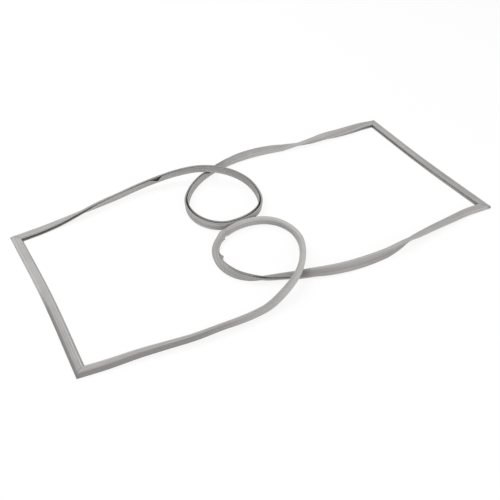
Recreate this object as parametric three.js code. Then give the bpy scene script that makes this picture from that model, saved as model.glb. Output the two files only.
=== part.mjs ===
// Lid gasket: one welded ring of soft extruded strip, packed with one coil in each long side.
// Units are millimetres. +Z is up, the floor is Z = 0 and +X runs along the long sides.
import * as THREE from 'three';

// The packed ring
const PACKED_LENGTH = 1262;
const PACKED_WIDTH = 560;
const SHORT_SIDE_BOW = 5.5;

// The strip's section: a C that is open on the ring's inner side
const STRIP_WIDTH = 28;
const STRIP_HEIGHT = 11;
const LIP_REACH = 3;
const LIP_THICKNESS = 0.9;
const FLANGE_THICKNESS = 1.8;
const FACE_THICKNESS = 7;
const OUTER_WALL = 2.3;
const SHOULDER_WIDTH = 6.5;
const SHOULDER_HEIGHT = 7;
const HEEL_RADIUS = 1.8;
const FACE_EDGE_RADIUS = 2.8;
const ROOT_DEPTH = 3;

// How finely the ring is cut
const LONG_SIDE_STATIONS = 100;
const SHORT_SIDE_STATIONS = 5;
const MITRE_CLEARANCE = 20;
const BEND_FINENESS = 60;
const TWIST_FINENESS = 32;

const PVC_COLOUR = 0xa8a7a5;

// Size of the chart below, from corner centre to corner centre
const CHART_LENGTH = 1234;
const CHART_WIDTH = 532;

// Route of the strip's centre along each long side, from the left corner to the right one.
// Each point is x, y, roll in degrees, lift off the floor in strip widths, width factor.
// Roll 0 lies flat, 90 stands on the mouth, -90 stands on the outer wall, -180 lies upside down.
const BACK_ROUTE = [
  [-617, 266, 0, 0, 1],
  [-558, 269, 0, 0, 0.99],
  [-495, 274, -10, 0, 0.98],
  [-436, 281, -32, 0, 0.97],
  [-376, 291, -56, 0, 0.95],
  [-310, 301, -67, 0, 0.94],
  [-239, 308, -68, 0.17, 0.95],
  [-170, 308, -69, 0.4, 0.95],
  [-109, 298, -72, 0.7, 0.95],
  [-51, 276, -76, 1, 0.92],
  [-1, 245, -80, 1, 0.92],
  [38, 206, -84, 0.78, 0.93],
  [61, 162, -88, 0.46, 0.95],
  [66, 116, -91, 0.14, 0.95],
  [55, 74, -96, 0, 0.95],
  [30, 41, -94, 0, 0.96],
  [-6, 22, -90, 0, 0.95],
  [-53, 15, -87, 0, 0.95],
  [-94, 22, -84, 0, 0.94],
  [-127, 46, -80, 0, 0.98],
  [-148, 86, -80, 0, 0.98],
  [-151, 130, -88, 0, 0.96],
  [-139, 172, -97, 0, 0.95],
  [-110, 213, -95, 0, 0.94],
  [-67, 249, -90, 0, 0.95],
  [-16, 275, -84, 0, 0.93],
  [38, 293, -91, 0, 0.92],
  [88, 303, -115, 0, 0.97],
  [141, 305, -133, 0, 0.97],
  [198, 301, -150, 0, 0.95],
  [252, 292, -173, 0, 0.95],
  [301, 282, -206, 0, 0.9],
  [351, 274, -237, 0, 0.93],
  [401, 270, -270, 0, 0.91],
  [454, 265, -301, 0, 0.93],
  [512, 264, -320, 0, 0.97],
  [568, 267, -341, 0, 0.98],
  [617, 266, -360, 0, 1],
];
const FRONT_ROUTE = [
  [-617, -266, 0, 0, 1],
  [-555, -275, 4, 0, 1],
  [-482, -283, 13, 0, 1],
  [-413, -294, 20, 0, 1],
  [-348, -304, 25, 0, 1],
  [-279, -308, 29, 0, 1],
  [-230, -311, 26, 0, 1],
  [-189, -311, 25, 0, 1],
  [-143, -307, 26, 0.08, 1],
  [-89, -291, 31, 0.42, 1],
  [-37, -264, 46, 0.61, 1],
  [3, -227, 65, 0.54, 1],
  [38, -178, 76, 0.29, 1],
  [59, -130, 83, 0.04, 1],
  [62, -83, 98, 0, 1],
  [47, -42, 100, 0, 0.98],
  [16, -13, 96, 0, 0.98],
  [-27, 1, 93, 0, 0.95],
  [-77, 0, 82, 0, 0.88],
  [-120, -16, 54, 0, 0.8],
  [-154, -44, 18, 0, 0.76],
  [-172, -86, -22, 0, 0.76],
  [-174, -130, -58, 0, 0.86],
  [-160, -169, -88, 0, 0.95],
  [-133, -197, -111, 0, 0.94],
  [-98, -215, -144, 0, 0.97],
  [-45, -234, -164, 0, 0.97],
  [9, -254, -194, 0, 0.97],
  [60, -272, -218, 0, 1],
  [122, -286, -229, 0, 1.03],
  [184, -292, -238, 0, 1.01],
  [243, -292, -255, 0, 0.97],
  [294, -287, -283, 0, 0.95],
  [344, -280, -320, 0, 0.95],
  [411, -273, -334, 0, 0.95],
  [480, -268, -345, 0, 0.96],
  [551, -263, -355, 0, 0.98],
  [617, -266, -360, 0, 1],
];

// Where the flange has sprung open or buckled out of the tight bend: the place and the reach
// count route points, the angle is in degrees and the buckle is the lip's extra reach.
const BACK_SPRUNG = [
  { at: 6.9, reach: 0.35, angle: 24, buckle: 0 },
  { at: 24.9, reach: 0.4, angle: 24, buckle: 0 },
];
const FRONT_SPRUNG = [
  { at: 18.9, reach: 0.45, angle: 0, buckle: 8 },
  { at: 20.8, reach: 0.6, angle: 0, buckle: 10 },
];

const CLOSED = { angle: 0, buckle: 0 };
const UP = new THREE.Vector3(0, 0, 1);

// Points of an ellipse's arc, from one angle in degrees to another
function arcPoints(cu, cv, ru, rv, from, to, count) {
  const arc = new THREE.EllipseCurve(
    cu, cv, ru, rv,
    THREE.MathUtils.degToRad(from), THREE.MathUtils.degToRad(to),
    to < from,
  );
  return arc.getPoints(count);
}

// The flange, from the mouth's root out to the lip and back underneath
function flangePoints({ angle, buckle }) {
  const edge = STRIP_WIDTH / 2;
  const base = -STRIP_HEIGHT / 2;
  const root = -edge + OUTER_WALL + ROOT_DEPTH;
  const hinge = new THREE.Vector2(root, base + FLANGE_THICKNESS / 2);
  const points = [
    new THREE.Vector2(root + 0.35 * (edge - root), base + FLANGE_THICKNESS),
    new THREE.Vector2(root + 0.7 * (edge - root), base + FLANGE_THICKNESS),
    new THREE.Vector2(edge - LIP_REACH, base + LIP_THICKNESS + 0.3),
    new THREE.Vector2(edge + buckle, base + LIP_THICKNESS),
    new THREE.Vector2(edge + buckle, base),
    new THREE.Vector2(root + 0.6 * (edge - root), base),
    new THREE.Vector2(root + 0.2 * (edge - root), base),
  ];
  return points.map((point) => point.rotateAround(hinge, -angle));
}

// The closed outline of the C, counter-clockwise: u runs to the mouth and v to the face
function sectionPoints(opening) {
  const edge = STRIP_WIDTH / 2;
  const top = STRIP_HEIGHT / 2;
  const faceEdge = edge - LIP_REACH;
  const floor = -top + FLANGE_THICKNESS;
  const ceiling = top - FACE_THICKNESS;
  const root = -edge + OUTER_WALL + ROOT_DEPTH;
  const heel = arcPoints(-edge + HEEL_RADIUS, -top + HEEL_RADIUS, HEEL_RADIUS, HEEL_RADIUS, 270, 180, 2);
  const shoulder = arcPoints(
    -edge + SHOULDER_WIDTH, top - SHOULDER_HEIGHT, SHOULDER_WIDTH, SHOULDER_HEIGHT, 180, 90, 5,
  );
  const faceEnd = arcPoints(
    faceEdge - FACE_EDGE_RADIUS, top - FACE_EDGE_RADIUS, FACE_EDGE_RADIUS, FACE_EDGE_RADIUS, 90, -60, 4,
  );
  const mouthRoot = arcPoints(root, (floor + ceiling) / 2, ROOT_DEPTH, (ceiling - floor) / 2, 90, 270, 4);
  return [
    ...flangePoints(opening),
    ...heel,
    ...shoulder,
    ...faceEnd,
    new THREE.Vector2(0, ceiling),
    ...mouthRoot,
  ];
}

// How far the strip's lowest point lies below its centre when it is rolled
function restHeight(roll, widthFactor, opening) {
  const heights = sectionPoints(opening).map(
    (point) => -Math.sin(roll) * point.x * widthFactor + Math.cos(roll) * point.y,
  );
  return -Math.min(...heights);
}

// How the flange stands at a place along a route
function mouthOpening(place, sprung) {
  const opening = { ...CLOSED };
  for (const spot of sprung) {
    const distance = Math.min(Math.abs(place - spot.at) / spot.reach, 1);
    const share = Math.cos(distance * Math.PI / 2) ** 2;
    opening.angle += THREE.MathUtils.degToRad(spot.angle) * share;
    opening.buckle += spot.buckle * share;
  }
  return opening;
}

// A smooth route through the chart's points, scaled to the packed size
function makeRoute(chart, sprung) {
  const scaleX = (PACKED_LENGTH - STRIP_WIDTH) / CHART_LENGTH;
  const scaleY = (PACKED_WIDTH - STRIP_WIDTH) / CHART_WIDTH;
  const path = new THREE.CatmullRomCurve3(
    chart.map(([x, y]) => new THREE.Vector3(x * scaleX, y * scaleY, 0)),
  );
  const pose = new THREE.CatmullRomCurve3(
    chart.map(([, , roll, lift, width]) => new THREE.Vector3(roll, lift, width)),
    false, 'catmullrom', 0.5,
  );
  return (t) => {
    const point = path.getPoint(t);
    const state = pose.getPoint(t);
    const roll = THREE.MathUtils.degToRad(state.x);
    const lift = Math.max(state.y, 0) * STRIP_WIDTH;
    const opening = mouthOpening(t * (chart.length - 1), sprung);
    point.z = restHeight(roll, state.z, opening) + lift;
    return { point, roll, width: state.z, opening };
  };
}

// A short side lies flat and bows a little towards the middle of the ring
function shortRoute(x, yFrom, yTo) {
  const bowed = x - Math.sign(x) * SHORT_SIDE_BOW;
  const path = new THREE.CatmullRomCurve3([
    new THREE.Vector3(x, yFrom, STRIP_HEIGHT / 2),
    new THREE.Vector3(bowed, (yFrom + yTo) / 2, STRIP_HEIGHT / 2),
    new THREE.Vector3(x, yTo, STRIP_HEIGHT / 2),
  ]);
  return (t) => ({ point: path.getPoint(t), roll: 0, width: 1, opening: CLOSED });
}

// Stations along a route, closer together where the strip bends or twists, each with its tangent
function stationsAlong(route, count) {
  const steps = 900;
  const fine = [];
  for (let i = 0; i <= steps; i += 1) {
    fine.push(route(i / steps));
  }
  const tangents = fine.map((sample, i) => {
    const before = fine[Math.max(i - 1, 0)].point;
    const after = fine[Math.min(i + 1, steps)].point;
    return after.clone().sub(before).normalize();
  });
  const run = [0];
  const effort = [0];
  for (let i = 1; i <= steps; i += 1) {
    const step = fine[i].point.distanceTo(fine[i - 1].point);
    const bend = tangents[i].angleTo(tangents[i - 1]);
    const twist = Math.abs(fine[i].roll - fine[i - 1].roll);
    run.push(run[i - 1] + step);
    effort.push(effort[i - 1] + step + BEND_FINENESS * bend + TWIST_FINENESS * twist);
  }
  const first = run.findIndex((length) => length > MITRE_CLEARANCE);
  const last = run.findIndex((length) => length > run[steps] - MITRE_CLEARANCE) - 1;
  const stations = [];
  for (let k = 0; k < count; k += 1) {
    const wanted = effort[first] + (effort[last] - effort[first]) * k / (count - 1);
    const i = Math.min(Math.max(effort.findIndex((value) => value >= wanted), first), last);
    stations.push({ ...fine[i], tangent: tangents[i] });
  }
  return { stations, start: tangents[0], end: tangents[steps] };
}

// The section's own directions where the strip runs along a tangent, clockwise round the ring
function placedSection({ point, tangent, roll, width, opening }) {
  const inward = tangent.clone().cross(UP).normalize();
  const above = inward.clone().cross(tangent);
  const mouthWay = inward.clone().multiplyScalar(Math.cos(roll)).addScaledVector(above, -Math.sin(roll));
  const faceWay = above.clone().multiplyScalar(Math.cos(roll)).addScaledVector(inward, Math.sin(roll));
  return sectionPoints(opening).map((offset) => point.clone()
    .addScaledVector(mouthWay, offset.x * width)
    .addScaledVector(faceWay, offset.y));
}

// A corner's section lies in the mitre between the two lengths that are welded there
function mitreSection(point, tangentIn, tangentOut) {
  const first = tangentIn.clone().cross(UP).normalize();
  const second = tangentOut.clone().cross(UP).normalize();
  const across = first.clone().add(second).divideScalar(1 + first.dot(second));
  return sectionPoints(CLOSED).map((offset) => point.clone()
    .addScaledVector(across, offset.x)
    .addScaledVector(UP, offset.y));
}

// The whole ring's sections, clockwise from the back left corner
function ringSections() {
  const x = (PACKED_LENGTH - STRIP_WIDTH) / 2;
  const y = (PACKED_WIDTH - STRIP_WIDTH) / 2;
  const front = makeRoute(FRONT_ROUTE, FRONT_SPRUNG);
  const sides = [
    stationsAlong(makeRoute(BACK_ROUTE, BACK_SPRUNG), LONG_SIDE_STATIONS),
    stationsAlong(shortRoute(x, y, -y), SHORT_SIDE_STATIONS),
    stationsAlong((t) => front(1 - t), LONG_SIDE_STATIONS),
    stationsAlong(shortRoute(-x, -y, y), SHORT_SIDE_STATIONS),
  ];
  const corners = [[-x, y], [x, y], [x, -y], [-x, -y]];
  const sections = [];
  sides.forEach((side, i) => {
    const [cornerX, cornerY] = corners[i];
    const corner = new THREE.Vector3(cornerX, cornerY, STRIP_HEIGHT / 2);
    const before = sides[(i + sides.length - 1) % sides.length];
    sections.push(mitreSection(corner, before.end, side.start));
    side.stations.forEach((station) => sections.push(placedSection(station)));
  });
  return sections;
}

// One closed skin through all the sections
function skinGeometry(sections) {
  const around = sections[0].length;
  const positions = sections.flat().flatMap((point) => [point.x, point.y, point.z]);
  const indices = [];
  for (let i = 0; i < sections.length; i += 1) {
    const next = (i + 1) % sections.length;
    for (let j = 0; j < around; j += 1) {
      const k = (j + 1) % around;
      const a = i * around + j;
      const b = i * around + k;
      const c = next * around + k;
      const d = next * around + j;
      indices.push(a, b, c, a, c, d);
    }
  }
  const geometry = new THREE.BufferGeometry();
  geometry.setAttribute('position', new THREE.Float32BufferAttribute(positions, 3));
  geometry.setIndex(indices);
  geometry.computeVertexNormals();
  return geometry;
}

// How far the ring is moved so that its box stands centred over the origin, on the floor
function centringOffset(geometry) {
  geometry.computeBoundingBox();
  const { min, max } = geometry.boundingBox;
  return new THREE.Vector3(-(min.x + max.x) / 2, -(min.y + max.y) / 2, -min.z);
}

const gasket = new THREE.Mesh(
  skinGeometry(ringSections()),
  new THREE.MeshStandardMaterial({ color: PVC_COLOUR, roughness: 0.55, metalness: 0 }),
);
gasket.name = 'gasket';
gasket.position.copy(centringOffset(gasket.geometry));

const part = new THREE.Group();
part.name = 'lid_gasket';
part.add(gasket);

export default part;
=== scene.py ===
"""Lid gasket: a welded ring of soft grey extrusion, packed with one coil in each long side."""
import math

import bpy
import numpy as np
from mathutils import Euler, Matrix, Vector


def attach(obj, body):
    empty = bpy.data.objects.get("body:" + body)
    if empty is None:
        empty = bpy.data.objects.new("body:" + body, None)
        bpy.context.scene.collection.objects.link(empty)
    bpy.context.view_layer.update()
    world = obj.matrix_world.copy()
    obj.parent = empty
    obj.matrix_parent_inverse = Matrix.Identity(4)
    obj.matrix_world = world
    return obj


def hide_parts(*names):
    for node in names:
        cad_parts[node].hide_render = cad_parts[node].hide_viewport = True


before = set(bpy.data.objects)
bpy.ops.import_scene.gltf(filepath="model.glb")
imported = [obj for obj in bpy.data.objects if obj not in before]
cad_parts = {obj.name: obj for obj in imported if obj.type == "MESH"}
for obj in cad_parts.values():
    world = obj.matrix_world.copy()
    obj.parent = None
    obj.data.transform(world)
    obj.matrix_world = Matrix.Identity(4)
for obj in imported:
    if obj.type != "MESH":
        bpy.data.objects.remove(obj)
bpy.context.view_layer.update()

MM = 0.001

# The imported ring, in millimetres
PACKED_LENGTH = 1262
PACKED_WIDTH = 560
SHORT_SIDE_BOW = 5.5

# The strip's section, in millimetres
STRIP_WIDTH = 28
STRIP_HEIGHT = 11
LIP_REACH = 3
LIP_THICKNESS = 0.9
FLANGE_THICKNESS = 1.8
FACE_THICKNESS = 7
OUTER_WALL = 2.3
SHOULDER_WIDTH = 6.5
SHOULDER_HEIGHT = 7
HEEL_RADIUS = 1.8
FACE_EDGE_RADIUS = 2.8
ROOT_DEPTH = 3
LIP_TAPER = 0.3

# Where the section's straight stretches begin and end, as millimetres short of their corners or
# as shares of the half width from the mouth's root
LIP_UNDER_GAP = 1.2
SHOULDER_GAP = 1.2
CEILING_GAP = 0.8
FLANGE_TOP_START = 0.05
FLANGE_UNDER_END = 0.2

# How finely the skin is cut
LONG_SIDE_STATIONS = 560
SHORT_SIDE_STATIONS = 90
MITRE_CLEARANCE = 15.5
BEND_FINENESS = 60
TWIST_FINENESS = 32
ROUTE_SAMPLES = 6001
CREASE_ANGLE = 38

# Fine extrusion ribs, in metres
RIB_PITCH = 0.0011
FLANGE_RIB_PITCH = 0.0034

# A painted shade line and a painted highlight line beside the face's rounded inner edge, in metres
# from the edge of the mouth, and how far the weld lines bow out of the mitres, as a share of the
# mitre's reach
EDGE_SHADE_PLACE = 0.0062
EDGE_HIGHLIGHT_PLACE = 0.0085
LINE_HALF_WIDTH = 0.0014
WELD_BOW = 0.26
WELD_HALF_WIDTH = 0.12

# Size of the chart below, from corner centre to corner centre
CHART_LENGTH = 1234
CHART_WIDTH = 532

# Route of the strip's centre along each long side, as in the part's source: x, y in millimetres,
# roll in degrees, lift off the floor in strip widths, width factor
BACK_ROUTE = [
    (-617, 266, 0, 0, 1),
    (-558, 269, 0, 0, 0.99),
    (-495, 274, -10, 0, 0.98),
    (-436, 281, -32, 0, 0.97),
    (-376, 291, -56, 0, 0.95),
    (-310, 301, -67, 0, 0.94),
    (-239, 308, -68, 0.17, 0.95),
    (-170, 308, -69, 0.4, 0.95),
    (-109, 298, -72, 0.7, 0.95),
    (-51, 276, -76, 1, 0.92),
    (-1, 245, -80, 1, 0.92),
    (38, 206, -84, 0.78, 0.93),
    (61, 162, -88, 0.46, 0.95),
    (66, 116, -91, 0.14, 0.95),
    (55, 74, -96, 0, 0.95),
    (30, 41, -94, 0, 0.96),
    (-6, 22, -90, 0, 0.95),
    (-53, 15, -87, 0, 0.95),
    (-94, 22, -84, 0, 0.94),
    (-127, 46, -80, 0, 0.98),
    (-148, 86, -80, 0, 0.98),
    (-151, 130, -88, 0, 0.96),
    (-139, 172, -97, 0, 0.95),
    (-110, 213, -95, 0, 0.94),
    (-67, 249, -90, 0, 0.95),
    (-16, 275, -84, 0, 0.93),
    (38, 293, -91, 0, 0.92),
    (88, 303, -115, 0, 0.97),
    (141, 305, -133, 0, 0.97),
    (198, 301, -150, 0, 0.95),
    (252, 292, -173, 0, 0.95),
    (301, 282, -206, 0, 0.9),
    (351, 274, -237, 0, 0.93),
    (401, 270, -270, 0, 0.91),
    (454, 265, -301, 0, 0.93),
    (512, 264, -320, 0, 0.97),
    (568, 267, -341, 0, 0.98),
    (617, 266, -360, 0, 1),
]
FRONT_ROUTE = [
    (-617, -266, 0, 0, 1),
    (-555, -275, 4, 0, 1),
    (-482, -283, 13, 0, 1),
    (-413, -294, 20, 0, 1),
    (-348, -304, 25, 0, 1),
    (-279, -308, 29, 0, 1),
    (-230, -311, 26, 0, 1),
    (-189, -311, 25, 0, 1),
    (-143, -307, 26, 0.08, 1),
    (-89, -291, 31, 0.42, 1),
    (-37, -264, 46, 0.61, 1),
    (3, -227, 65, 0.54, 1),
    (38, -178, 76, 0.29, 1),
    (59, -130, 83, 0.04, 1),
    (62, -83, 98, 0, 1),
    (47, -42, 100, 0, 0.98),
    (16, -13, 96, 0, 0.98),
    (-27, 1, 93, 0, 0.95),
    (-77, 0, 82, 0, 0.88),
    (-120, -16, 54, 0, 0.8),
    (-154, -44, 18, 0, 0.76),
    (-172, -86, -22, 0, 0.76),
    (-174, -130, -58, 0, 0.86),
    (-160, -169, -88, 0, 0.95),
    (-133, -197, -111, 0, 0.94),
    (-98, -215, -144, 0, 0.97),
    (-45, -234, -164, 0, 0.97),
    (9, -254, -194, 0, 0.97),
    (60, -272, -218, 0, 1),
    (122, -286, -229, 0, 1.03),
    (184, -292, -238, 0, 1.01),
    (243, -292, -255, 0, 0.97),
    (294, -287, -283, 0, 0.95),
    (344, -280, -320, 0, 0.95),
    (411, -273, -334, 0, 0.95),
    (480, -268, -345, 0, 0.96),
    (551, -263, -355, 0, 0.98),
    (617, -266, -360, 0, 1),
]

# Where the flange has sprung open or buckled out of the bend: place and reach in route points,
# angle in degrees, the lip's extra reach in millimetres
BACK_SPRUNG = [(6.9, 0.35, 24, 0), (24.9, 0.4, 24, 0)]
FRONT_SPRUNG = [(18.9, 0.45, 0, 8), (20.8, 0.6, 0, 10)]

# The photograph's view, in the chart's frame
CAMERA_PLACE = (-762.3, -1296.6, 1234.7)
CAMERA_HEADING = 29.7
CAMERA_PITCH = 41.63
SENSOR = 36.0
LENS = 48.86

# Colours, as linear values
PVC_GREY = (0.42, 0.412, 0.402)
PVC_SHADE = (0.27, 0.264, 0.256)
# MOUTH_SHADE is painted shade and MOUTH_LIGHT is painted light
MOUTH_SHADE = (0.12, 0.117, 0.113)
MOUTH_LIGHT = (0.72, 0.705, 0.685)
WELD_SHADE = (0.16, 0.155, 0.15)
FLOOR_WHITE = (0.9, 0.9, 0.9)
WHITE = (1.0, 1.0, 1.0)

# Where the tones and the painted light and shade change over the ring: places and reaches in
# metres, fades per metre
FRONT_FADE = 12.0
LEFT_FADE = 3.0
RIGHT_FADE = 4.0
FAR_RIGHT_START = 0.2
# The back left is painted lighter as a pool of light, with painted light in its slot: place and
# reach of that stretch
BACK_LEFT_LIGHT_PLACE = -0.36
BACK_LEFT_LIGHT_REACH = 0.17

# How much each thing darkens the grey, from PVC_GREY at 0 to PVC_SHADE at 1: streaks, lines and
# clouds are the PVC's own tone; face and flange get painted shade, the walls and back left painted
# light; the dark and light lines are painted edge shade and a painted highlight
SHADE = {
    "level": 0.45, "streaks": 0.8, "lines": 2.4, "clouds": 0.6, "face": 0.2, "flange": 0.2,
    "flange bars": 0.25, "wall light": -0.35, "back left": -0.3, "dark line": 0.9,
    "edge highlight line": -1.1,
}

# How far each thing takes the colour to MOUTH_LIGHT, painted light in the slot, MOUTH_SHADE,
# painted shade on the slot, flaps, front walls and flange, or WELD_SHADE, the weld marks
LIGHT = {"slot": 0.85, "front": 0.9}
DARK = {
    "slot": 0.6, "far side": 0.2, "flap": 0.5, "front wall shade": 0.75, "front flange shade": 0.36,
    "far right shade": 0.14,
}
MARK = {"line": 0.8, "corner": 0.9}
# The lip's buckle, in millimetres, that gives a flap its full painted shade
FLAP_REACH = 10
CORNER_START = 0.75
CORNER_FADE = 5.0

# Noise: periods per metre round and along the strip, or in every way
LINE_NOISE = (420.0, 2.5)
STREAK_NOISE = (900.0, 5.0)
CLOUD_NOISE = 26.0
GRAIN_NOISE = 900.0

# Height of each pattern in the bump, and the bump's own values
RELIEF = {"ribs": 0.6, "flange bars": 2.5, "lines": 1.2, "streaks": 0.5, "grain": 0.25}
BUMP_STRENGTH = 0.35
BUMP_DISTANCE = 0.00022
ROUGHNESS = {"level": 0.5, "grain": 0.12, "streaks": 0.05}
SPECULAR = 0.42

# Stage: floor size in metres, how white the surround is seen, and its light on the object
FLOOR_HALF = 12.0
FLOOR_SEEN_WHITE = 0.86
SURROUND_LIGHT = 0.66
KEY_LAMP = {"place": (-0.9, 1.6, 2.6), "size": 2.2, "power": 52}
FILL_LAMP = {"place": (0.4, -2.8, 1.0), "size": 2.4, "power": 46}


# The strip's section

def arc(cu, cv, ru, rv, start, stop, count):
    """Points of an ellipse's arc: centre plus radii times cosine and sine of the angle."""
    a = np.radians(np.linspace(start, stop, count + 1))
    return np.stack([cu + ru * np.cos(a), cv + rv * np.sin(a)], axis=1)


def line(start, stop, count):
    """Points that divide a straight stretch evenly, its last point left out."""
    t = np.arange(count)[:, None] / count
    return np.asarray(start) * (1 - t) + np.asarray(stop) * t


def section_outline():
    """The closed C outline, and the name of the part that each of its points belongs to.

    Flange out to the lip and back underneath, heel arc, shoulder arc, flat face, rounded face
    edge, the mouth's ceiling and its round root.
    """
    edge = STRIP_WIDTH / 2
    top = STRIP_HEIGHT / 2
    face_edge = edge - LIP_REACH
    floor = -top + FLANGE_THICKNESS
    ceiling = top - FACE_THICKNESS
    root = -edge + OUTER_WALL + ROOT_DEPTH
    lip_top = -top + LIP_THICKNESS
    lip_radius = LIP_THICKNESS / 2
    face_end = arc(face_edge - FACE_EDGE_RADIUS, top - FACE_EDGE_RADIUS,
                   FACE_EDGE_RADIUS, FACE_EDGE_RADIUS, 90, -60, 9)
    shoulder = arc(-edge + SHOULDER_WIDTH, top - SHOULDER_HEIGHT,
                   SHOULDER_WIDTH, SHOULDER_HEIGHT, 180, 90, 9)
    pieces = [
        ("flange_top", line((root + FLANGE_TOP_START * edge, floor),
                            (face_edge, lip_top + LIP_TAPER), 6)),
        ("lip", line((face_edge, lip_top + LIP_TAPER), (edge - LIP_TAPER, lip_top), 2)),
        ("lip", arc(edge - lip_radius, -top + lip_radius, lip_radius, lip_radius, 90, -90, 3)),
        ("flange_under", line((edge - LIP_UNDER_GAP, -top),
                              (root + FLANGE_UNDER_END * edge, -top), 9)),
        ("heel", arc(-edge + HEEL_RADIUS, -top + HEEL_RADIUS,
                     HEEL_RADIUS, HEEL_RADIUS, 270, 180, 4)),
        ("shoulder", shoulder),
        ("face", line(shoulder[-1] + (SHOULDER_GAP, 0), face_end[0], 7)),
        ("face_edge", face_end),
        ("ceiling", line(face_end[-1] + (-CEILING_GAP, 0), (root, ceiling), 4)),
        ("root", arc(root, (floor + ceiling) / 2, ROOT_DEPTH, (ceiling - floor) / 2, 90, 270, 6)),
    ]
    points = np.concatenate([points for _, points in pieces])
    labels = np.concatenate([[name] * len(points) for name, points in pieces])
    return points, labels


OUTLINE, LABELS = section_outline()
SWINGS = np.isin(LABELS, ["flange_top", "lip", "flange_under"])
LIP_SHARE = SWINGS * np.clip((OUTLINE[:, 0] - STRIP_WIDTH / 2 + LIP_REACH) / LIP_REACH, 0, 1)
GIRTH = np.append(0, np.cumsum(np.linalg.norm(np.roll(OUTLINE, -1, 0) - OUTLINE, axis=1)))
FACE_END = GIRTH[np.flatnonzero(LABELS == "face_edge")[-1]]
HINGE = np.array([
    -STRIP_WIDTH / 2 + OUTER_WALL + ROOT_DEPTH,
    -STRIP_HEIGHT / 2 + FLANGE_THICKNESS / 2,
])


def sections(angle, buckle):
    """The outline at each station: the buckle moves the lip out, the angle turns the flange."""
    points = np.repeat(OUTLINE[None], len(angle), axis=0)
    points[..., 0] += buckle[:, None] * LIP_SHARE
    arm = points[:, SWINGS] - HINGE
    c = np.cos(-angle)[:, None]
    s = np.sin(-angle)[:, None]
    points[:, SWINGS, 0] = HINGE[0] + c * arm[..., 0] - s * arm[..., 1]
    points[:, SWINGS, 1] = HINGE[1] + s * arm[..., 0] + c * arm[..., 1]
    return points


# The route

def catmull_rom(knots, t, centripetal):
    """Catmull-Rom curve through the knots; t runs evenly over them, tangents by their distances."""
    knots = np.asarray(knots, float)
    place = np.clip(t, 0, 1) * (len(knots) - 1)
    i = np.minimum(place.astype(int), len(knots) - 2)
    w = (place - i)[:, None]
    padded = np.vstack([2 * knots[0] - knots[1], knots, 2 * knots[-1] - knots[-2]])
    p0, p1, p2, p3 = (padded[i + k] for k in range(4))
    if centripetal:
        d0, d1, d2 = (np.linalg.norm(b - a, axis=1)[:, None] ** 0.5
                      for a, b in ((p0, p1), (p1, p2), (p2, p3)))
        m1 = ((p1 - p0) / d0 - (p2 - p0) / (d0 + d1) + (p2 - p1) / d1) * d1
        m2 = ((p2 - p1) / d1 - (p3 - p1) / (d1 + d2) + (p3 - p2) / d2) * d1
    else:
        m1 = (p2 - p0) / 2
        m2 = (p3 - p1) / 2
    return (p1 + m1 * w + (-3 * p1 + 3 * p2 - 2 * m1 - m2) * w ** 2
            + (2 * p1 - 2 * p2 + m1 + m2) * w ** 3)


def mouth_opening(place, sprung):
    """Sums of squared-cosine bumps, one for each place where the flange has sprung or buckled."""
    angle = np.zeros_like(place)
    buckle = np.zeros_like(place)
    for at, reach, turn, stretch in sprung:
        share = np.cos(np.clip(np.abs(place - at) / reach, 0, 1) * np.pi / 2) ** 2
        angle += np.radians(turn) * share
        buckle += stretch * share
    return angle, buckle


def long_route(chart, sprung, t):
    """Centre, roll, width and opening along a long side; z keeps the lowest point on the floor."""
    chart = np.asarray(chart, float)
    scale = ((PACKED_LENGTH - STRIP_WIDTH) / CHART_LENGTH,
             (PACKED_WIDTH - STRIP_WIDTH) / CHART_WIDTH)
    flat = catmull_rom(chart[:, :2] * scale, t, True)
    pose = catmull_rom(chart[:, 2:], t, False)
    roll = np.radians(pose[:, 0])
    lift = np.maximum(pose[:, 1], 0) * STRIP_WIDTH
    angle, buckle = mouth_opening(t * (len(chart) - 1), sprung)
    outline = sections(angle, buckle)
    height = (-np.sin(roll)[:, None] * outline[..., 0] * pose[:, 2:3]
              + np.cos(roll)[:, None] * outline[..., 1])
    centre = np.column_stack([flat, lift - height.min(axis=1)])
    return centre, roll, pose[:, 2], angle, buckle


def short_route(x, y_from, y_to, t):
    """A flat short side, bowed a little towards the middle."""
    bowed = x - math.copysign(SHORT_SIDE_BOW, x)
    z = STRIP_HEIGHT / 2
    knots = [(x, y_from, z), (bowed, (y_from + y_to) / 2, z), (x, y_to, z)]
    zero = np.zeros_like(t)
    return catmull_rom(knots, t, True), zero, zero + 1, zero, zero


def directions(points):
    """Unit tangents by central differences."""
    d = np.gradient(points, axis=0)
    return d / np.linalg.norm(d, axis=1)[:, None]


def stations_along(route, count):
    """Stations at even steps of length plus turning, so they lie closer in bends and twists."""
    t = np.linspace(0, 1, ROUTE_SAMPLES)
    centre, roll, *_ = route(t)
    tangent = directions(centre)
    step = np.linalg.norm(np.diff(centre, axis=0), axis=1)
    bend = np.arccos(np.clip((tangent[1:] * tangent[:-1]).sum(axis=1), -1, 1))
    twist = np.abs(np.diff(roll))
    run = np.append(0, np.cumsum(step))
    effort = np.append(0, np.cumsum(step + BEND_FINENESS * bend + TWIST_FINENESS * twist))
    ends = np.interp([MITRE_CLEARANCE, run[-1] - MITRE_CLEARANCE], run, effort)
    chosen = np.interp(np.linspace(*ends, count), effort, t)
    centre, roll, width, angle, buckle = route(chosen)
    way = np.column_stack([np.interp(chosen, t, tangent[:, k]) for k in range(3)])
    way /= np.linalg.norm(way, axis=1)[:, None]
    return {
        "centre": centre, "roll": roll, "width": width, "angle": angle, "buckle": buckle,
        "way": way, "run": np.interp(chosen, t, run), "length": run[-1],
        "start": tangent[0], "end": tangent[-1],
    }


# The ring

UP = np.array([0.0, 0.0, 1.0])


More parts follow.
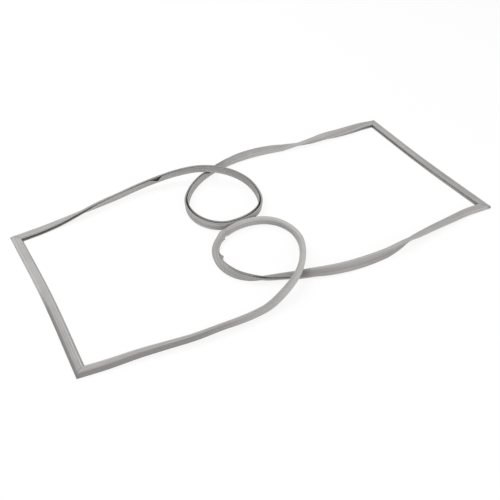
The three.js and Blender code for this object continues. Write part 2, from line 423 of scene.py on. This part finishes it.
def placed_sections(side):
    """Section points in space: centre plus u along the mouth's way and v along the face's way."""
    inward = np.cross(side["way"], UP)
    inward /= np.linalg.norm(inward, axis=1)[:, None]
    above = np.cross(inward, side["way"])
    c = np.cos(side["roll"])[:, None]
    s = np.sin(side["roll"])[:, None]
    mouth_way = c * inward - s * above
    face_way = c * above + s * inward
    outline = sections(side["angle"], side["buckle"])
    across = outline[..., 0:1] * side["width"][:, None, None]
    return (side["centre"][:, None] + across * mouth_way[:, None]
            + outline[..., 1:2] * face_way[:, None])


def mitre_section(corner, way_in, way_out):
    """A corner's section lies in the mitre plane between the two lengths."""
    first = np.cross(way_in, UP)
    first /= np.linalg.norm(first)
    second = np.cross(way_out, UP)
    second /= np.linalg.norm(second)
    across = (first + second) / (1 + first @ second)
    return corner + OUTLINE[:, 0:1] * across + OUTLINE[:, 1:2] * UP


def ring_grid():
    """All section points clockwise from the back left corner; run, way off a weld and buckle."""
    x = (PACKED_LENGTH - STRIP_WIDTH) / 2
    y = (PACKED_WIDTH - STRIP_WIDTH) / 2
    sides = [
        stations_along(lambda t: long_route(BACK_ROUTE, BACK_SPRUNG, t), LONG_SIDE_STATIONS),
        stations_along(lambda t: short_route(x, y, -y, t), SHORT_SIDE_STATIONS),
        stations_along(lambda t: long_route(FRONT_ROUTE, FRONT_SPRUNG, 1 - t), LONG_SIDE_STATIONS),
        stations_along(lambda t: short_route(-x, -y, y, t), SHORT_SIDE_STATIONS),
    ]
    corners = np.array([(-x, y), (x, y), (x, -y), (-x, -y)])
    grid, run, seam, buckle = [], [], [], []
    total = 0.0
    for i, side in enumerate(sides):
        corner = np.append(corners[i], STRIP_HEIGHT / 2)
        grid.append(mitre_section(corner, sides[i - 1]["end"], side["start"])[None])
        grid.append(placed_sections(side))
        run.append([total])
        run.append(total + side["run"])
        seam.append([0.0])
        seam.append(np.where(side["run"] < side["length"] / 2, 1.0, -1.0))
        buckle.append([0.0])
        buckle.append(side["buckle"])
        total += side["length"]
    return (*(np.concatenate(rows) for rows in (grid, run, seam, buckle)), total)


def skin_object(name):
    """One closed quad skin through all the sections, with UVs in metres: round and along."""
    grid, run, seam, buckle, total = ring_grid()
    box = np.array([grid.min(axis=(0, 1)), grid.max(axis=(0, 1))])
    offset = np.array([-box[:, 0].mean(), -box[:, 1].mean(), -box[0, 2]])
    grid = (grid + offset) * MM
    rows, around = grid.shape[:2]
    i, j = np.meshgrid(np.arange(rows), np.arange(around), indexing="ij")
    i2, j2 = (i + 1) % rows, (j + 1) % around
    quads = np.stack(
        [i * around + j, i * around + j2, i2 * around + j2, i2 * around + j], axis=-1)
    mesh = bpy.data.meshes.new(name)
    mesh.from_pydata(grid.reshape(-1, 3), [], quads.reshape(-1, 4))
    along = np.append(run, total)
    u = np.stack([GIRTH[j], GIRTH[j + 1], GIRTH[j + 1], GIRTH[j]], axis=-1) * MM
    v = np.stack([along[i], along[i], along[i + 1], along[i + 1]], axis=-1) * MM
    layer = mesh.uv_layers.new(name="strip")
    layer.data.foreach_set("uv", np.stack([u, v], axis=-1).ravel())
    for label, values in (("flange", LABELS == "flange_under"),
                          ("mouth", np.isin(LABELS, ["flange_top", "ceiling", "root"])),
                          ("face", np.isin(LABELS, ["face", "face_edge"])),
                          ("wall", np.isin(LABELS, ["heel", "shoulder"])),
                          ("flap", buckle[:, None] * LIP_SHARE / FLAP_REACH),
                          ("across", OUTLINE[:, 0] / (STRIP_WIDTH / 2)),
                          ("seam", seam[:, None]),
                          ("weld", seam[:, None] == 0)):
        values = np.broadcast_to(values, (rows, around)).astype(np.float32)
        mesh.attributes.new(label, "FLOAT", "POINT").data.foreach_set("value", values.ravel())
    mesh.update()
    mesh.shade_smooth()
    mesh.set_sharp_from_angle(angle=math.radians(CREASE_ANGLE))
    thing = bpy.data.objects.new(name, mesh)
    bpy.context.scene.collection.objects.link(thing)
    return thing, offset


# Shader maths

class Sock:
    """A shader socket or number that takes part in Python sums."""

    def __init__(self, tree, value):
        self.tree = tree
        self.value = value

    def _maths(self, kind, a, b=0.0):
        node = self.tree.nodes.new("ShaderNodeMath")
        node.operation = kind
        for slot, item in zip(node.inputs, (a, b)):
            item = item.value if isinstance(item, Sock) else item
            if isinstance(item, bpy.types.NodeSocket):
                self.tree.links.new(item, slot)
            else:
                slot.default_value = item
        return Sock(self.tree, node.outputs[0])

    def __add__(self, other):
        return self._maths("ADD", self, other)

    def __radd__(self, other):
        return self._maths("ADD", other, self)

    def __sub__(self, other):
        return self._maths("SUBTRACT", self, other)

    def __rsub__(self, other):
        return self._maths("SUBTRACT", other, self)

    def __mul__(self, other):
        return self._maths("MULTIPLY", self, other)

    def __rmul__(self, other):
        return self._maths("MULTIPLY", other, self)

    def __truediv__(self, other):
        return self._maths("DIVIDE", self, other)

    def __pow__(self, other):
        return self._maths("POWER", self, other)

    def sine(self):
        return self._maths("SINE", self)

    def clamp(self):
        return self._maths("MINIMUM", self._maths("MAXIMUM", self, 0.0), 1.0)

    def band(self, centre, half_width):
        """One at the centre, falling to zero at the half width."""
        off = (self - centre) / half_width
        return (1.0 - off * off).clamp()


class Finish:
    """A new material whose nodes are made by one method."""

    def __init__(self, name):
        self.material = bpy.data.materials.new(name)
        self.material.use_nodes = True
        self.tree = self.material.node_tree
        self.tree.nodes.clear()

    def node(self, kind, settings=None, inputs=None, output=0):
        """Adds a node: settings first, then values or links of its sockets."""
        node = self.tree.nodes.new(kind)
        for key, value in (settings or {}).items():
            setattr(node, key, value)
        for key, value in (inputs or {}).items():
            value = value.value if isinstance(value, Sock) else value
            if isinstance(value, bpy.types.NodeSocket):
                self.tree.links.new(value, node.inputs[key])
            else:
                node.inputs[key].default_value = value
        return Sock(self.tree, node.outputs[output]) if node.outputs else None

    def mix_colour(self, factor, first, second):
        """A colour between two others."""
        inputs = {0: factor, 6: first, 7: rgba(second)}
        return self.node("ShaderNodeMix", {"data_type": "RGBA"}, inputs, 2)

    def parts(self, vector):
        """The parts of a vector, as sockets that take part in sums."""
        split = self.tree.nodes.new("ShaderNodeSeparateXYZ")
        self.tree.links.new(vector.value, split.inputs[0])
        return [Sock(self.tree, part) for part in split.outputs]

    def noise(self, vector, scale, detail):
        """Noise about one half, finer as the scale grows."""
        inputs = {"Vector": vector, "Scale": scale, "Detail": detail}
        return self.node("ShaderNodeTexNoise", {}, inputs)


def rgba(colour):
    """A colour with full cover."""
    return (*colour, 1.0)


# Materials

def ridges(round_way, pitch):
    """Even ridges along the strip: half a sine wave's height plus one half, one wave to a pitch."""
    return (round_way * (2 * math.pi / pitch)).sine() * 0.5 + 0.5


def drawn_noise(f, round_way, along, noise, detail):
    """Noise drawn out along the strip."""
    vector = f.node("ShaderNodeCombineXYZ", {}, {0: round_way * noise[0], 1: along * noise[1]})
    return f.noise(vector, 1.0, detail)


def weld_marks(across, seam, weld):
    """A dark line that bows out of each mitre, and a dark tip at its outer corner."""
    bow = (1.0 - across * across) * WELD_BOW
    mark = (seam - bow).band(0.0, WELD_HALF_WIDTH) * (weld * 4.0).clamp()
    tip = ((0.0 - across - CORNER_START) * CORNER_FADE).clamp() * ((weld - 0.5) * 3.0).clamp()
    return (mark * MARK["line"] + tip * MARK["corner"]).clamp()


def soft_pvc():
    """Matt grey PVC: fine ribs and drawn lines along the strip, weld marks, painted light and
    shade.
    """
    f = Finish("soft_pvc")
    round_way, along, _ = f.parts(f.node("ShaderNodeUVMap", {"uv_map": "strip"}))
    place = f.node("ShaderNodeTexCoord", output=3)
    rightward, backward, _ = f.parts(place)
    flange, mouth, face, wall, flap, across, seam, weld = (
        f.node("ShaderNodeAttribute", {"attribute_name": name}, output=2)
        for name in ("flange", "mouth", "face", "wall", "flap", "across", "seam", "weld"))

    # Masks for the painted light and shade: the front strand is painted darker, the back left
    # lighter
    front = (0.5 - backward * FRONT_FADE).clamp()
    back = 1.0 - front
    left = (0.0 - rightward * LEFT_FADE).clamp()
    not_right = 1.0 - (rightward * RIGHT_FADE).clamp()
    far_right = ((rightward - FAR_RIGHT_START) * RIGHT_FADE).clamp()
    back_left_light = rightward.band(BACK_LEFT_LIGHT_PLACE, BACK_LEFT_LIGHT_REACH)
    # Painted shade and a painted highlight along the face's rounded inner edge
    inner = FACE_END * MM - round_way
    edge_shade_line = inner.band(EDGE_SHADE_PLACE, LINE_HALF_WIDTH)
    edge_highlight_line = inner.band(EDGE_HIGHLIGHT_PLACE, LINE_HALF_WIDTH)

    lines = drawn_noise(f, round_way, along, LINE_NOISE, 2.0)
    streaks = drawn_noise(f, round_way, along, STREAK_NOISE, 3.0)
    clouds = f.noise(place, CLOUD_NOISE, 3.0)
    grain = f.noise(place, GRAIN_NOISE, 2.0)
    ribs = ridges(round_way, RIB_PITCH)
    bars = ridges(round_way, FLANGE_RIB_PITCH) ** 3.0 * flange

    # The PVC's own tone from streaks, lines and clouds, with painted shade on the face and flange
    # and painted light on the walls and back left
    shade = (SHADE["level"] + (streaks - 0.5) * SHADE["streaks"] + (lines - 0.5) * SHADE["lines"]
             + (clouds - 0.5) * SHADE["clouds"] + face * SHADE["face"] + flange * SHADE["flange"]
             + bars * SHADE["flange bars"] + wall * not_right * SHADE["wall light"]
             + back_left_light * back * SHADE["back left"] + edge_shade_line * SHADE["dark line"]
             + edge_highlight_line * SHADE["edge highlight line"])
    colour = f.mix_colour(shade.clamp(), rgba(PVC_GREY), PVC_SHADE)
    # Painted light: the slot's inside is taken towards MOUTH_LIGHT at the front and the back left
    lit_slot = (front * LIGHT["front"] + back_left_light).clamp() * mouth
    colour = f.mix_colour(lit_slot * LIGHT["slot"], colour, MOUTH_LIGHT)
    # Painted shade: the slot's inside is darkened at the back, less on the far right and not at the
    # back left
    dark_slot = mouth * (DARK["slot"] - far_right * DARK["far side"]) * back * (1.0 - back_left_light)
    # Painted shade: the slot's inside, the shaded flaps, the front left outer walls, the front
    # flange and the front far right, all taken towards MOUTH_SHADE
    painted_shade = (dark_slot + flap * DARK["flap"] + wall * front * left * DARK["front wall shade"]
              + flange * front * DARK["front flange shade"]
              + front * far_right * (1.0 - flange) * DARK["far right shade"])
    colour = f.mix_colour(painted_shade.clamp(), colour, MOUTH_SHADE)
    colour = f.mix_colour(weld_marks(across, seam, weld), colour, WELD_SHADE)

    height = (ribs * (1 - mouth) * RELIEF["ribs"] + bars * RELIEF["flange bars"]
              + lines * RELIEF["lines"] + streaks * RELIEF["streaks"] + grain * RELIEF["grain"])
    bump = f.node("ShaderNodeBump", {}, {
        "Height": height, "Strength": BUMP_STRENGTH, "Distance": BUMP_DISTANCE,
    })
    roughness = (ROUGHNESS["level"] + (grain - 0.5) * ROUGHNESS["grain"]
                 + streaks * ROUGHNESS["streaks"])
    shader = f.node("ShaderNodeBsdfPrincipled", {}, {
        "Base Color": colour, "Roughness": roughness.clamp(), "Normal": bump,
        "Specular IOR Level": SPECULAR,
    })
    f.node("ShaderNodeOutputMaterial", {}, {"Surface": shader})
    return f.material


def clear_view(tree):
    """One on the rays that see the surround as white: from the camera, a gloss or a clear piece."""
    path = tree.nodes.new("ShaderNodeLightPath")
    camera, gloss, clear = (
        Sock(tree, path.outputs[name])
        for name in ("Is Camera Ray", "Is Glossy Ray", "Is Transmission Ray"))
    return (camera + gloss + clear).clamp()


def studio_white():
    """A white floor that shows only a light shadow."""
    f = Finish("studio_white")
    matt = f.node("ShaderNodeBsdfDiffuse", {}, {"Color": rgba(FLOOR_WHITE)})
    glow = f.node("ShaderNodeEmission", {}, {"Color": rgba(WHITE), "Strength": 1.0})
    seen = clear_view(f.tree) * FLOOR_SEEN_WHITE
    mixed = f.node("ShaderNodeMixShader", {}, {0: seen, 1: matt, 2: glow})
    f.node("ShaderNodeOutputMaterial", {}, {"Surface": mixed})
    return f.material


# Stage, light and camera

def floor_plane():
    """A wide flat floor at z = 0."""
    mesh = bpy.data.meshes.new("floor")
    corners = np.array([(-1, -1, 0), (1, -1, 0), (1, 1, 0), (-1, 1, 0)]) * FLOOR_HALF
    mesh.from_pydata(corners, [], [(0, 1, 2, 3)])
    thing = bpy.data.objects.new("floor", mesh)
    bpy.context.scene.collection.objects.link(thing)
    mesh.materials.append(studio_white())


def studio_world():
    """A white surround, seen as white and lighting the object softly."""
    world = bpy.data.worlds.new("studio")
    bpy.context.scene.world = world
    world.use_nodes = True
    tree = world.node_tree
    tree.nodes.clear()
    lit = tree.nodes.new("ShaderNodeBackground")
    lit.inputs["Color"].default_value = rgba(WHITE)
    lit.inputs["Strength"].default_value = SURROUND_LIGHT
    white = tree.nodes.new("ShaderNodeBackground")
    white.inputs["Color"].default_value = rgba(WHITE)
    white.inputs["Strength"].default_value = 1.0
    mix = tree.nodes.new("ShaderNodeMixShader")
    out = tree.nodes.new("ShaderNodeOutputWorld")
    tree.links.new(clear_view(tree).value, mix.inputs[0])
    tree.links.new(lit.outputs[0], mix.inputs[1])
    tree.links.new(white.outputs[0], mix.inputs[2])
    tree.links.new(mix.outputs[0], out.inputs["Surface"])


def soft_lamp(name, place, size, power):
    """A square area lamp that faces the origin."""
    data = bpy.data.lights.new(name, "AREA")
    data.shape = "SQUARE"
    data.size = size
    data.energy = power
    lamp = bpy.data.objects.new(name, data)
    lamp.location = place
    lamp.rotation_euler = (-Vector(place)).to_track_quat("-Z", "Y").to_euler()
    bpy.context.scene.collection.objects.link(lamp)


def photo_camera(offset):
    """The photograph's camera, moved with the ring from the chart's frame."""
    data = bpy.data.cameras.new("camera")
    data.sensor_width = SENSOR
    data.lens = LENS
    camera = bpy.data.objects.new("camera", data)
    camera.location = (np.array(CAMERA_PLACE) + offset) * MM
    turn = (math.radians(90 - CAMERA_PITCH), 0, math.radians(-CAMERA_HEADING))
    camera.rotation_euler = Euler(turn)
    bpy.context.scene.collection.objects.link(camera)
    bpy.context.scene.camera = camera


# The scene

gasket, chart_offset = skin_object("gasket_strip")
gasket.data.materials.append(soft_pvc())
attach(gasket, "root")
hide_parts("gasket")

floor_plane()
studio_world()
soft_lamp("key", **KEY_LAMP)
soft_lamp("fill", **FILL_LAMP)
photo_camera(chart_offset)

bpy.context.scene.view_settings.view_transform = "Standard"
